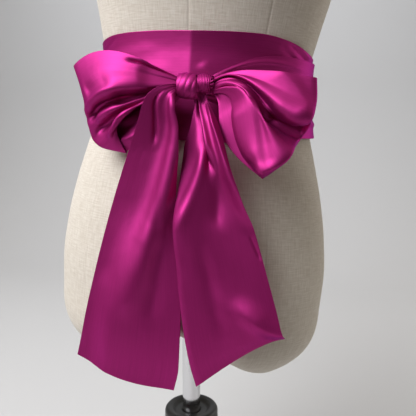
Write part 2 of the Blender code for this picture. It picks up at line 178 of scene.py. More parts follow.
# %% [markdown]
# The form is covered in unbleached linen: a dull cream cloth whose yarn is uneven, so that thick places, or
# slubs, run up and across it as short streaks. Two noises stretched the two ways of the weave make them.

# %% Linen, plain woven and unbleached
SLUB_WIDE_MM = 1.4  # a yarn is 0.7 mm, drawn at twice that so that it shows
SLUB_LONG_MM = 16.0

linen, tree, shader = new_material(
    "linen plain weave", Roughness=0.88, Specular_IOR_Level=0.25, Sheen_Weight=0.15, Sheen_Roughness=0.5
)
cloth_map = add_node(tree, "ShaderNodeUVMap", {"uv_map": "cloth"})
slubs = []
for scale in (
    (1000 / SLUB_LONG_MM, 1000 / SLUB_WIDE_MM, 1.0),
    (1000 / SLUB_WIDE_MM, 1000 / SLUB_LONG_MM, 1.0),
):
    stretched = add_node(tree, "ShaderNodeMapping", Vector=cloth_map.outputs[0], Scale=scale)
    slubs.append(add_node(tree, "ShaderNodeTexNoise", Vector=stretched.outputs[0], Scale=1.0, Detail=2.0))
weave = add_node(
    tree, "ShaderNodeMath", {"operation": "ADD"}, _0=slubs[0].outputs[0], _1=slubs[1].outputs[0]
)
level_out = add_node(
    tree, "ShaderNodeMapRange", Value=weave.outputs[0], From_Min=0.7, From_Max=1.3, To_Min=0.0, To_Max=1.0
)
flax = add_node(
    tree,
    "ShaderNodeMix",
    {"data_type": "RGBA"},
    _0=level_out.outputs[0],
    _6=linear("#C3B9AA"),
    _7=linear("#D8D1C5"),
)
tree.links.new(flax.outputs[2], shader.inputs["Base Color"])
yarn = add_node(tree, "ShaderNodeBump", Strength=0.5, Distance=0.0004, Height=weave.outputs[0])
tree.links.new(yarn.outputs[0], shader.inputs["Normal"])

# %% [markdown]
# The stand is chromed steel tube, with a hub of moulded black plastic. Chrome is close to a mirror, with
# fine polishing lines round the tube, so its roughness changes a little over the surface. The plastic has a
# fine matt grain from its mould.

# %% Chromed steel and moulded plastic
POLISH_MM = 0.8  # from one polishing line to the next
POLISH_LONG_MM = 50.0
GRAIN_MM = 0.6

chrome, tree, shader = new_material("chromed steel tube", Metallic=1.0, Base_Color=linear("#DCDCDE"))
place = add_node(tree, "ShaderNodeTexCoord")
round_lines = add_node(
    tree,
    "ShaderNodeMapping",
    Vector=place.outputs["Object"],
    Scale=(1000 / POLISH_LONG_MM, 1000 / POLISH_LONG_MM, 1000 / POLISH_MM),
)
polish = add_node(tree, "ShaderNodeTexNoise", Vector=round_lines.outputs[0], Scale=1.0, Detail=2.0)
shine = add_node(tree, "ShaderNodeMapRange", Value=polish.outputs[0], To_Min=0.08, To_Max=0.2)
tree.links.new(shine.outputs[0], shader.inputs["Roughness"])

plastic, tree, shader = new_material("moulded black nylon", Base_Color=linear("#1E1F1E"), IOR=1.53)
place = add_node(tree, "ShaderNodeTexCoord")
grain = add_node(
    tree, "ShaderNodeTexNoise", Vector=place.outputs["Object"], Scale=1000 / GRAIN_MM, Detail=2.0
)
matt = add_node(tree, "ShaderNodeMapRange", Value=grain.outputs[0], To_Min=0.34, To_Max=0.5)
tree.links.new(matt.outputs[0], shader.inputs["Roughness"])
pimples = add_node(tree, "ShaderNodeBump", Strength=0.25, Distance=0.0001, Height=grain.outputs[0])
tree.links.new(pimples.outputs[0], shader.inputs["Normal"])

# %% [markdown]
# The sizes come from short tables: a row for each height of the form, each stretch of a turn, each line of
# a loop. A smooth curve runs through each column. A plain cubic spline would swing past the rows and make
# waves that no table asked for, so the slopes are held down wherever the column turns.

# %% A curve through a column of a table
def through(at, rows, column, first="along"):
    """Cubic pieces through a column: each slope is the harmonic mean of its neighbours, or 0 at a turn."""
    place = np.array([getattr(row, first) for row in rows], float)
    value = np.array([getattr(row, column) for row in rows], float)
    if place[0] > place[-1]:
        place, value = place[::-1], value[::-1]
    step = np.diff(place)
    rise = np.diff(value) / step
    slope = np.zeros(len(place))
    same_way = rise[:-1] * rise[1:] > 0
    mean = 2 * rise[:-1] * rise[1:] / np.where(same_way, rise[:-1] + rise[1:], 1.0)
    slope[1:-1] = np.where(same_way, mean, 0.0)
    slope[0], slope[-1] = rise[0], rise[-1]
    at = np.clip(np.asarray(at, float), place[0], place[-1])
    i = np.clip(np.searchsorted(place, at) - 1, 0, len(step) - 1)
    t = (at - place[i]) / step[i]
    ends = value[i] * (1 + 2 * t) * (1 - t) ** 2 + value[i + 1] * (3 - 2 * t) * t**2
    bends = step[i] * t * (1 - t) * (slope[i] * (1 - t) - slope[i + 1] * t)
    return ends + bends


def bump(distance, power=2.0):
    """exp(-|distance|^power): 1 at no distance and 0 far off. Power 2 gives a soft top, 1 a sharp one."""
    return np.exp(-(np.abs(distance) ** power))


def ease(t):
    """3t^2 - 2t^3 of t held between 0 and 1: a smooth step."""
    t = np.clip(t, 0, 1)
    return t * t * (3 - 2 * t)


# %% [markdown]
# Every mesh below is a grid of points. Writing the mesh arrays directly is the fastest way in, and it lets
# the same function give each corner its place in metres of cloth for the weave to follow.

# %% Meshes from grids
def enclosed(points, faces):
    """Cubic centimetres inside, by the sum of a . (b x c) / 6. It is above 0 when the faces look outward."""
    total = 0.0
    for part in faces:
        for k in range(1, part.shape[1] - 1):
            a, b, c = points[part[:, 0]], points[part[:, k]], points[part[:, k + 1]]
            total += np.einsum("ij,ij->", a, np.cross(b, c)) / 6
    return total / CM**3


def new_piece(name, points, faces, uv, material):
    """Puts points in metres, faces of 4 or 3 corners and a UV for each point into a new smooth object."""
    mesh = bpy.data.meshes.new(name)
    corners = np.concatenate([part.ravel() for part in faces])
    sizes = np.concatenate([np.full(len(part), part.shape[1]) for part in faces])
    mesh.vertices.add(len(points))
    mesh.vertices.foreach_set("co", points.ravel())
    mesh.loops.add(len(corners))
    mesh.loops.foreach_set("vertex_index", corners)
    mesh.polygons.add(len(sizes))
    mesh.polygons.foreach_set("loop_start", np.concatenate([[0], np.cumsum(sizes)[:-1]]))
    layer = mesh.uv_layers.new(name="cloth")
    layer.data.foreach_set("uv", uv[corners].ravel())
    mesh.update(calc_edges=True)
    mesh.validate()
    mesh.materials.append(material)
    mesh.shade_smooth()
    piece = bpy.data.objects.new(name, mesh)
    bpy.context.scene.collection.objects.link(piece)
    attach(piece, "root")
    print(f"{name}: {int((sizes - 2).sum())} triangles, {enclosed(points, faces):.1f} cubic cm")
    return piece


def quads(index):
    """The four corners of every square of a grid of point numbers, in order round it."""
    return np.stack([index[:-1, :-1], index[1:, :-1], index[1:, 1:], index[:-1, 1:]], -1).reshape(-1, 4)


# %% [markdown]
# The torso of a dress form is moulded to a body's size and covered in panels of linen. Its rings get their
# half width and their depths in front and behind from a table. A sculpted or lofted body could serve, but
# the sash has to lie exactly on this surface, so the form is a function that the sash can call too.

# %% The form's surface
Ring = namedtuple("Ring", "height half_width front back")
FORM = (
    Ring(-26.0, 17.0, 11.5, 12.4),
    Ring(-22.0, 17.1, 11.7, 12.7),
    Ring(-17.0, 16.6, 11.5, 12.5),
    Ring(-12.0, 15.6, 10.9, 11.7),
    Ring(-8.0, 14.5, 10.2, 10.6),
    Ring(-4.0, 13.4, 9.4, 9.4),
    Ring(0.0, 12.8, 9.0, 8.8),
    Ring(3.0, 12.7, 9.0, 8.7),
    Ring(6.5, 13.3, 9.6, 9.0),
    Ring(11.0, 14.3, 10.8, 9.7),
    Ring(17.0, 15.4, 12.8, 10.3),
    Ring(22.0, 15.9, 11.9, 10.6),
    Ring(26.5, 17.0, 10.2, 10.2),
    Ring(29.5, 17.6, 8.7, 9.2),
    Ring(31.6, 15.6, 7.4, 8.0),
    Ring(33.4, 11.4, 6.4, 6.9),
    Ring(35.4, 7.4, 5.7, 6.0),
    Ring(38.0, 5.8, 5.2, 5.3),
    Ring(41.5, 5.5, 5.0, 5.0),
)
SEAMS = (0.0, 38.0, 90.0, 142.0, 180.0, 218.0, 270.0, 322.0)  # degrees round from the front centre
SEAM_DEEP = 0.035
SEAM_WIDE = 0.13


def form_point(angle, height, off=0.0):
    """An ellipse at each height, x = width sin(angle) and y = -depth cos(angle), both let out by off."""
    width = through(height, FORM, "half_width", "height") + off
    front = through(height, FORM, "front", "height") + off
    back = through(height, FORM, "back", "height") + off
    turn = np.radians(angle)
    depth = np.where(np.cos(turn) > 0, front, back)
    return np.stack([width * np.sin(turn), -depth * np.cos(turn), height + 0 * turn], -1)


# %% [markdown]
# Below the hips the form closes in two rounded lobes with a hollow between them for the pole. The rings
# shrink by a cosine and drop by a sine, and how far they drop depends on how far out to the side they are.
# The last ring is the round hole that the pole goes into, lined by a long tube that is closed at its top. The
# tube leans with the form, so high up inside, where it isn't seen, its wall meets the upright pole.

# %% Dress form
RING_COUNT = 130
DOME_COUNT = 44
LOBE_DROP = 9.9
NOTCH_DROP = 3.1
NOTCH_HALF_WIDTH = 0.7
DOME_FULLNESS = 0.69
HOLE_X = 0.48
HOLE_RADIUS = 1.75
HOLE_DEEP = 16.5
HOLE_LIP = 0.15
CAP_ROUND = 0.35
CAP_RINGS = ((0.5, 1.0), (0.15, 1.0), (0.04, 0.75))  # how far in from the neck's edge, and share of the rise
FORM_RADIUS = 14.0  # a middle value, for distances round the form


def form_angles():
    """Even steps round the form, with extra ones close to each seam."""
    even = np.linspace(0, 360, 180, endpoint=False)
    near = np.array([-1.8, -1.1, -0.65, -0.3, 0.3, 0.65, 1.1, 1.8])
    close = (np.array(SEAMS)[:, None] + near).ravel() % 360
    return np.unique(np.concatenate([even, close, SEAMS]).round(3))


def seam_hollow(angle, radius):
    """How deep the surface dips into the seams: a soft groove by the distance in centimetres from each."""
    apart = (angle[:, None] - np.array(SEAMS) + 180) % 360 - 180
    return SEAM_DEEP * bump(np.radians(np.abs(apart).min(1)) * radius / SEAM_WIDE)


angle = form_angles()
heights = np.linspace(FORM[-1].height, FORM[0].height, RING_COUNT)
hollow = -seam_hollow(angle, FORM_RADIUS)
rings = [form_point(angle, np.full_like(angle, height), hollow) for height in heights]
lowest = rings[-1]
turn = np.radians(angle)
hole = np.stack([HOLE_X + HOLE_RADIUS * np.sin(turn), -HOLE_RADIUS * np.cos(turn)], -1)
for step in range(1, DOME_COUNT + 1):
    quarter = step / DOME_COUNT * math.pi / 2
    keep = math.cos(quarter)
    ring = lowest.copy()
    ring[:, :2] = lowest[:, :2] * keep + hole * (1 - keep)
    lobe = ease(np.abs(ring[:, 0] - HOLE_X * (1 - keep)) / FORM[0].half_width / NOTCH_HALF_WIDTH)
    drop = NOTCH_DROP + (LOBE_DROP - NOTCH_DROP) * lobe
    ring[:, 2] = FORM[0].height - drop * math.sin(quarter) ** DOME_FULLNESS
    rings.append(ring)
lip = rings[-1][:, 2].mean()
for up in (HOLE_LIP, HOLE_DEEP):
    rings.append(np.column_stack([hole, np.full(len(angle), lip + up)]))
top = rings[0]
cap = [
    np.column_stack([top[:, :2] * (1 - inward), np.full(len(angle), FORM[-1].height + CAP_ROUND * rise)])
    for inward, rise in CAP_RINGS
]
rings = cap + rings
grid = np.array(rings)
rows, columns = grid.shape[:2]
ends = np.array([[0, 0, FORM[-1].height + CAP_ROUND], [HOLE_X, 0, lip + HOLE_DEEP]])
points = np.concatenate([grid.reshape(-1, 3), ends])
index = np.arange(rows * columns).reshape(rows, columns)
index = np.concatenate([index, index[:, :1]], 1)
top_fan = np.stack([index[0, 1:], index[0, :-1], np.full(columns, rows * columns)], -1)
foot_fan = np.stack([index[-1, :-1], index[-1, 1:], np.full(columns, rows * columns + 1)], -1)
round_metres = np.radians(angle) * FORM_RADIUS * CM
uv = np.stack(np.broadcast_arrays(round_metres[None, :], grid[..., 2] * CM), -1).reshape(-1, 2)
uv = np.concatenate([uv, np.zeros((2, 2))])
form = new_piece(
    "form_cover", in_the_room(points), [quads(index), top_fan, foot_fan], uv, linen
)
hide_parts("dress_form")

# %% [markdown]
# Each stretch of the sash is one thin closed shell. A Solidify modifier would leave square-cut rims, but the
# sash is a strip folded double, so its edges are round. Here the two faces are the middle surface moved out
# and in along its normal, and the thickness runs down to nothing at the border as a quarter circle does.

# %% Cloth shells
CLOTH = 0.10  # the doubled satin as seen; the solids are a little thicker
STRIP_WIDTH = 12.5


def spread(count, edge):
    """Places from 0 to 1: even steps, with a few more within edge of either end for the round rim."""
    rim = edge * np.array([0.0, 0.06, 0.22, 0.5, 1.0])
    return np.concatenate([rim, np.linspace(edge, 1 - edge, count)[1:-1], 1 - rim[::-1]])


def normals_of(grid):
    """Unit normals of a grid of points: the cross product of its two directions, by central differences."""
    cross = np.cross(np.gradient(grid, axis=0), np.gradient(grid, axis=1))
    return cross / np.maximum(np.linalg.norm(cross, axis=-1, keepdims=True), 1e-9)


def shell(name, grid, along, across, length, replaced):
    """A closed shell of cloth round a grid of points. The border points are shared by both faces."""
    rows, columns = grid.shape[:2]
    from_end = np.minimum(along, 1 - along)[:, None] * length
    from_side = np.minimum(across, 1 - across)[None, :] * STRIP_WIDTH
    from_edge = np.minimum(from_end, from_side)
    rim = 1 - np.clip(from_edge / (CLOTH / 2), 0, 1)
    half = CLOTH / 2 * np.sqrt(1 - rim**2)
    normal = normals_of(grid) * half[..., None]
    front = np.arange(rows * columns).reshape(rows, columns)
    back = front.copy()
    inside = np.zeros((rows, columns), bool)
    inside[1:-1, 1:-1] = True
    back[inside] = rows * columns + np.arange(inside.sum())
    points = np.concatenate([(grid + normal).reshape(-1, 3), (grid - normal)[inside]])
    place = np.stack(np.meshgrid(along * length * CM, across * STRIP_WIDTH * CM, indexing="ij"), -1)
    uv = np.concatenate([place.reshape(-1, 2), place[inside]])
    piece = new_piece(name, in_the_room(points), [quads(front), quads(back)[:, ::-1]], uv, satin)
    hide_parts(replaced)
    sides = np.cross(np.gradient(grid, axis=0)[:-1, :-1], np.gradient(grid, axis=1)[:-1, :-1])
    middle = np.linalg.norm(np.diff(grid, axis=0), axis=-1).sum(0).mean()
    print(f"    {middle:.1f} cm long, {np.linalg.norm(sides, axis=-1).sum():.0f} square cm")
    return piece


# %% [markdown]
# Folds and creases are what make it satin and not sheet metal. Each one is a row: a line from one place on
# the cloth to another, how far it stands out or sinks, and how wide it is on either side. The points move
# along the normal by that much. Cloth simulation could find folds of its own, but these have to be the ones
# that this bow has.

# %% Folds as rows of a table
Fold = namedtuple("Fold", "u0 v0 u1 v1 height near far bow fade power", defaults=(0.0, 0.25, 2.0))


def relief(folds, along, across, length):
    """The sum of the folds' heights.

    Each is a soft bump across its line, near wide on one side and far wide on the other, in centimetres of
    cloth. Bow bends the line by a parabola, and fade is the share of its length over which it rises from
    nothing at each end. Power 2 is a soft crest, 1 a sharp one.
    """
    x = along * length
    y = across * STRIP_WIDTH
    total = np.zeros(np.broadcast(along, across).shape)
    for fold in folds:
        run = np.array([(fold.u1 - fold.u0) * length, (fold.v1 - fold.v0) * STRIP_WIDTH])
        span = np.hypot(*run)
        way = run / span
        from_x = x - fold.u0 * length
        from_y = y - fold.v0 * STRIP_WIDTH
        t = (from_x * way[0] + from_y * way[1]) / span
        aside = from_y * way[0] - from_x * way[1] - fold.bow * 4 * t * (1 - t)
        window = ease(t / fold.fade) * ease((1 - t) / fold.fade)
        width = np.where(aside < 0, fold.near, fold.far)
        total += fold.height * window * bump(aside / width, fold.power)
    return total


def gathers(distance, across, count, height, reach, shift=0.0):
    """Small pleats running out of the knot.

    They are two sines across the cloth, the second 1.7 times as fine. Two slow waves crowd them here and
    spread them there, and they die away with distance.
    """
    uneven = across + 0.035 * np.sin(9.0 * across + shift) + 0.02 * np.sin(23.0 * across + 2 * shift)
    wave = np.sin(2 * np.pi * count * uneven + shift) + 0.4 * np.sin(2 * np.pi * 1.7 * count * uneven)
    return height * wave * np.exp(-distance / reach)


def moved_out(grid, height):
    """The grid with each point moved along its normal by height."""
    return grid + normals_of(grid) * height[..., None]


# %% [markdown]
# The strip starts with its middle laid across the front of the waist. It is pulled tight there, with one
# sharp upright crease close to the centre where it was folded in its packet, and slack ripples beside it.

# %% The front turn
FIRST_TURN = 0.175
SECOND_TURN = 0.475
Turn = namedtuple("Turn", "angle top bottom lift")
FRONT_TURN = (
    Turn(-104.0, 4.1, -4.3, FIRST_TURN),
    Turn(-85.0, 4.3, -4.7, FIRST_TURN),
    Turn(-65.0, 4.7, -5.2, FIRST_TURN),
    Turn(-42.0, 5.1, -5.7, FIRST_TURN),
    Turn(0.0, 5.35, -6.1, FIRST_TURN + 0.03),
    Turn(36.0, 5.6, -5.9, FIRST_TURN),
    Turn(52.0, 5.3, -5.5, FIRST_TURN),
    Turn(68.0, 4.7, -5.0, FIRST_TURN),
    Turn(85.0, 4.3, -4.7, FIRST_TURN),
    Turn(104.0, 4.1, -4.3, FIRST_TURN),
)
FRONT_LENGTH = 41.0
FRONT_FOLDS = (
    Fold(0.510, 0.42, 0.510, 1.20, 0.50, 2.2, 1.5, 0.0, 0.2, 1.1),
    Fold(0.30, 0.52, 0.48, 0.66, 0.10, 0.8, 1.2),
    Fold(0.20, 0.74, 0.45, 0.86, 0.06, 0.7, 0.7),
    Fold(0.53, 0.72, 0.58, 0.52, 0.14, 0.5, 0.6),
    Fold(0.58, 0.62, 0.84, 0.74, 0.07, 0.9, 1.1),
    Fold(0.205, 0.86, 0.30, 0.985, -0.06, 0.35, 0.15),
    Fold(0.745, 0.985, 0.86, 0.90, -0.12, 0.4, 0.15),
    Fold(0.725, 0.93, 0.83, 0.82, -0.11, 0.4, 0.15),
    Fold(0.76, 1.02, 0.88, 0.94, 0.15, 0.15, 0.3),
    Fold(0.25, 0.20, 0.70, 0.28, 0.08, 0.9, 0.9),
    Fold(0.04, 0.35, 0.22, 0.50, 0.06, 0.6, 0.6),
    Fold(0.80, 0.45, 0.97, 0.35, 0.06, 0.6, 0.6),
)


def turn_surface(rows, along, across):
    """The form's own surface moved out by the lift, between the heights of the turn's two edges."""
    angle = rows[0].angle + (rows[-1].angle - rows[0].angle) * along
    top = through(angle, rows, "top", "angle")
    bottom = through(angle, rows, "bottom", "angle")
    lift = through(angle, rows, "lift", "angle")
    return form_point(angle, bottom + (top - bottom) * across, lift)


def turn_piece(name, rows, folds, length, pleat, replaced, outward=1.0, count=260):
    """One turn as a shell: its surface, its folds, and where it nears the knot its gathers.

    Outward is -1 where along and across make a normal that looks inward.
    """
    along, across = spread(count, 0.1 / length), spread(60, 0.008)
    u, v = np.meshgrid(along, across, indexing="ij")
    height = outward * relief(folds, u, v, length)
    height = height + gathers((1 - u) * length, v, count=6, height=pleat, reach=2.6)
    grid = moved_out(turn_surface(rows, u, v), height)
    return shell(name, grid, along, across, length, replaced)


front = turn_piece("sash_front_cloth", FRONT_TURN, FRONT_FOLDS, FRONT_LENGTH, 0.0, "sash_front")

# %% [markdown]
# Both ends go round the sides, cross at the back, and come forward again over the first turn. They narrow
# as they near the knot, because the cloth is gathered into it. The real strip keeps its full width there in
# deep pleats. These pleats are shallower, so each shell holds less cloth than the rectangle that it is cut
# from, and the area stated for its sheet is about what the shell holds.

# %% The two returns
RETURN_RIGHT = (
    Turn(-104.15, 4.1, -4.3, FIRST_TURN),
    Turn(-128.0, 4.8, -1.2, FIRST_TURN),
    Turn(-142.0, 5.4, 0.05, FIRST_TURN),
    Turn(-152.0, 5.4, 0.1, SECOND_TURN),
    Turn(-165.0, 4.9, -1.6, SECOND_TURN),
    Turn(-182.0, 4.2, -3.9, SECOND_TURN),
    Turn(-215.0, 4.1, -4.7, SECOND_TURN),
    Turn(-255.0, 3.9, -4.6, SECOND_TURN),
    Turn(-280.0, 3.7, -4.9, SECOND_TURN),
    Turn(-304.0, 3.7, -5.0, SECOND_TURN),
    Turn(-318.0, 3.5, -4.6, SECOND_TURN + 0.05),
    Turn(-328.0, 3.0, -3.8, SECOND_TURN + 0.3),
    Turn(-339.0, 1.9, -2.6, SECOND_TURN + 0.75),
    Turn(-350.0, 0.4, -1.6, SECOND_TURN + 1.0),
)
RETURN_LEFT = (
    Turn(104.15, 4.1, -4.3, FIRST_TURN),
    Turn(145.0, 4.2, -4.4, FIRST_TURN),
    Turn(178.0, 3.3, -4.6, FIRST_TURN),
    Turn(195.0, 1.5, -5.6, FIRST_TURN),
    Turn(208.0, 0.05, -6.3, FIRST_TURN),
    Turn(218.0, 0.05, -6.3, SECOND_TURN),
    Turn(232.0, 1.7, -6.0, SECOND_TURN),
    Turn(255.0, 3.8, -5.2, SECOND_TURN),
    Turn(275.0, 3.8, -5.0, SECOND_TURN),
    Turn(297.0, 3.1, -5.0, SECOND_TURN),
    Turn(314.0, 2.2, -4.6, SECOND_TURN + 0.05),
    Turn(325.0, 1.7, -3.8, SECOND_TURN + 0.3),
    Turn(337.0, 1.1, -2.6, SECOND_TURN + 0.7),
    Turn(348.0, 0.4, -1.6, SECOND_TURN + 1.0),
)
RETURN_LENGTH = 51.0
RETURN_PLEAT = 0.06
RETURN_RIGHT_FOLDS = (
    Fold(0.02, 0.30, 0.27, 0.50, 0.10, 0.5, 0.7),
    Fold(0.08, 0.78, 0.36, 0.64, 0.09, 0.4, 0.6),
    Fold(0.28, 0.20, 0.61, 0.36, 0.15, 0.6, 0.5),
    Fold(0.33, 0.82, 0.55, 0.68, 0.12, 0.4, 0.4),
    Fold(0.45, 0.55, 0.82, 0.66, 0.16, 0.5, 0.7),
    Fold(0.60, 0.14, 0.91, 0.30, 0.18, 0.5, 0.5),
    Fold(0.70, 0.42, 0.99, 0.52, 0.18, 0.4, 0.5),
    Fold(0.75, 0.86, 0.98, 0.96, 0.16, 0.3, 0.35),
    Fold(0.80, 0.68, 1.00, 0.78, 0.14, 0.3, 0.4),
)
RETURN_LEFT_FOLDS = (
    Fold(0.03, 0.62, 0.28, 0.45, 0.10, 0.6, 0.6),
    Fold(0.10, 0.22, 0.40, 0.32, 0.09, 0.5, 0.6),
    Fold(0.30, 0.80, 0.47, 0.66, 0.08, 0.4, 0.5),
    Fold(0.46, 0.30, 0.75, 0.42, 0.16, 0.6, 0.5),
    Fold(0.55, 0.78, 0.84, 0.66, 0.15, 0.5, 0.6),
    Fold(0.70, 0.20, 0.97, 0.34, 0.18, 0.5, 0.5),
    Fold(0.78, 0.56, 0.99, 0.60, 0.17, 0.4, 0.5),
    Fold(0.80, 0.84, 0.99, 0.88, 0.14, 0.3, 0.3),
)

returns = [
    turn_piece(
        "sash_return_right_cloth",
        RETURN_RIGHT,
        RETURN_RIGHT_FOLDS,
        RETURN_LENGTH,
        RETURN_PLEAT,
        "sash_return_right",
        outward=-1.0,
    ),
    turn_piece(
        "sash_return_left_cloth",
        RETURN_LEFT,
        RETURN_LEFT_FOLDS,
        RETURN_LENGTH,
        RETURN_PLEAT,
        "sash_return_left",
    ),
]

# %% [markdown]
# A bow loop is the strip going out from the knot, turning at the outer fold and coming back behind. Eight
# lines across the cloth each have four stations from the knot to the fold. Because the lines are chosen one
# ridge, one hollow at a time, the big soft creases are in the surface from the start.

# %% Bow loops
Line = namedtuple("Line", "share x0 z0 y0 x1 z1 y1 x2 z2 y2 x3 z3 y3 puff")
LOOP_LEFT = (
    Line(0.00, 0.3, 0.1, -11.6, -4.9, 2.0, -12.6, -8.8, 2.4, -12.3, -12.1, 0.9, -11.8, 1.9),
    Line(0.25, 0.3, -0.2, -11.8, -5.3, 0.4, -13.2, -8.7, -0.0, -13.2, -10.7, -1.8, -12.7, 2.3),
    Line(0.40, 0.4, -0.4, -11.9, -4.8, -1.2, -13.9, -7.6, -1.7, -14.1, -10.1, -3.6, -12.9, 1.8),
    Line(0.50, 0.3, -0.6, -11.5, -5.2, -2.1, -12.6, -8.1, -3.0, -12.3, -10.3, -4.9, -11.5, 1.5),
    Line(0.57, 0.3, -0.7, -11.7, -5.0, -2.7, -13.2, -7.8, -4.0, -12.9, -9.9, -5.6, -11.8, 1.4),
    Line(0.68, 0.3, -0.8, -11.6, -4.6, -3.0, -12.8, -7.2, -4.6, -12.4, -9.6, -6.7, -11.3, 0.9),
    Line(0.80, 0.3, -1.0, -11.7, -4.5, -3.3, -13.2, -6.5, -5.2, -13.1, -8.0, -7.6, -11.9, 0.9),
    Line(1.00, 0.3, -1.2, -11.6, -4.8, -3.4, -12.6, -6.5, -5.3, -12.6, -5.3, -7.9, -12.0, 0.8),
)
LOOP_RIGHT = (
    Line(0.00, 3.6, 0.3, -11.7, 7.0, 1.2, -12.9, 10.5, 1.1, -13.4, 13.7, 0.8, -13.4, 2.3),
    Line(0.17, 3.6, 0.2, -11.9, 7.2, 0.6, -13.2, 10.8, -0.5, -13.9, 13.9, -1.3, -14.0, 2.6),
    Line(0.32, 3.6, 0.0, -11.8, 6.9, 0.4, -13.5, 10.2, -1.6, -14.5, 13.7, -3.1, -14.7, 2.5),
    Line(0.38, 3.6, -0.1, -11.6, 6.8, 0.2, -12.7, 9.8, -2.1, -13.1, 13.6, -3.6, -13.5, 2.0),
    Line(0.50, 3.6, -0.4, -11.8, 7.0, -0.2, -12.9, 9.8, -3.0, -12.9, 12.8, -5.0, -12.8, 1.9),
    Line(0.63, 3.6, -0.6, -11.8, 7.1, -0.7, -13.9, 9.6, -3.7, -14.7, 11.6, -6.9, -14.5, 1.5),
    Line(0.78, 3.6, -0.9, -11.9, 7.0, -0.9, -13.9, 8.7, -4.0, -14.4, 10.3, -8.4, -14.7, 1.5),
    Line(1.00, 3.6, -1.2, -11.8, 5.8, -1.9, -12.9, 6.6, -4.8, -13.2, 9.6, -9.1, -13.9, 0.8),
)
KNOT_SPREAD = 0.42
REACH_POWER = 0.85
LOOP_LEFT_FOLDS = (
    Fold(0.064, -0.15, 0.064, 0.46, 0.35, 2.2, 0.4),
    Fold(0.12, 0.34, 0.38, 0.33, -0.25, 0.9, 0.9),
    Fold(0.10, 0.46, 0.40, 0.44, 0.30, 1.0, 0.4),
    Fold(0.10, 0.10, 0.005, 0.03, -0.30, 0.35, 0.35),
    Fold(0.01, 0.58, 0.14, 0.51, -0.35, 0.6, 0.5),
    Fold(0.07, 0.52, 0.40, 0.50, -0.35, 0.5, 0.5),
    Fold(0.07, 0.575, 0.30, 0.56, 0.28, 0.6, 0.6),
    Fold(0.04, 0.74, 0.38, 0.64, -0.50, 0.5, 0.45),
    Fold(0.06, 0.80, 0.32, 0.80, 0.30, 0.6, 0.6),
    Fold(0.60, 0.20, 0.97, 0.35, -0.35, 0.7, 0.8),
    Fold(0.58, 0.50, 0.94, 0.56, 0.25, 0.6, 0.5),
)
LOOP_RIGHT_FOLDS = (
    Fold(0.06, 0.70, 0.26, 0.46, -0.60, 0.25, 0.8),
    Fold(0.19, 0.49, 0.49, 0.36, -0.65, 0.25, 0.9),
    Fold(0.05, 0.60, 0.24, 0.42, 0.24, 0.9, 0.25),
    Fold(0.18, 0.42, 0.48, 0.29, 0.40, 1.2, 0.3),
    Fold(0.42, 0.45, 0.41, 1.00, 1.10, 1.2, 3.3, 0.0, 0.35),
    Fold(0.10, 0.96, 0.36, 0.92, 0.35, 1.6, 0.9),
    Fold(0.14, 0.70, 0.42, 0.74, -0.20, 0.7, 0.7),
    Fold(0.00, 0.72, 0.06, 0.78, -0.70, 0.45, 0.45),
    Fold(0.16, -0.08, 0.40, 0.35, 0.35, 1.0, 2.2),
    Fold(0.42, -0.25, 0.42, 0.42, 0.32, 1.2, 2.6),
    Fold(0.58, 0.25, 0.95, 0.40, -0.40, 0.8, 0.7),
    Fold(0.57, 0.62, 0.92, 0.66, 0.30, 0.6, 0.6),
)
Loop = namedtuple("Loop", "lines back_x back_z length outward folds")
LOOPS = {
    "bow_loop_left": Loop(LOOP_LEFT, 3.4, -2.0, 24.0, 1.0, LOOP_LEFT_FOLDS),
    "bow_loop_right": Loop(LOOP_RIGHT, -1.5, -1.2, 23.8, -1.0, LOOP_RIGHT_FOLDS),
}


def loop_surface(loop, along, across):
    """Each line is the cubic through its stations at reach 0, 1/3, 2/3, 1, and reach is sin(pi along)^0.85.

    The back layer lies behind the front by the puff, and its lower hem hangs aside.
    """
    turn = np.pi * along
    reach = np.sin(turn) ** REACH_POWER
    behind = (1 - np.cos(turn)) / 2
    weights = (
        (1 - 3 * reach) * (2 - 3 * reach) * (1 - reach) / 2,
        9 * reach * (2 - 3 * reach) * (1 - reach) / 2,
        9 * reach * (3 * reach - 1) * (1 - reach) / 2,
        reach * (3 * reach - 1) * (3 * reach - 2) / 2,
    )
    point = [
        sum(w * through(across, loop.lines, f"{axis}{k}", "share") for k, w in enumerate(weights))
        for axis in "xyz"
    ]
    puff = through(across, loop.lines, "puff", "share")
    room = KNOT_SPREAD + (puff - KNOT_SPREAD) * ease(reach / 0.4)
    hang = behind * 4 * reach * (1 - reach) * across**2
    point[0] = point[0] + loop.back_x * hang
    point[1] = point[1] + room * behind
    point[2] = point[2] + loop.back_z * hang
    return np.stack(point, -1)


def loop_places(count):
    """Places along a loop from 0 to 1, closer together towards the knot and round the outer fold."""
    even = spread(count, 0.002)
    return even - 0.55 * np.sin(4 * np.pi * even) / (4 * np.pi)


for name, loop in LOOPS.items():
    along, across = loop_places(200), spread(110, 0.008)
    u, v = np.meshgrid(along, across, indexing="ij")
    from_knot = np.minimum(u, 1 - u) * loop.length
    height = loop.outward * relief(loop.folds, u, v, loop.length)
    height = height + gathers(from_knot, v, count=6, height=0.035, reach=2.0, shift=1.0)
    grid = moved_out(loop_surface(loop, u, v), height)
    shell(name + "_cloth", grid, along, across, loop.length, name)

# %% [markdown]
# The tails are the two ends of the strip. Each one leaves the knot gathered to a few centimetres, opens as
# it falls, and carries one long soft fold down its middle that fades towards the hem. As on the returns, the
# gathers are shallower than real ones, and the area stated is about what the shell holds.

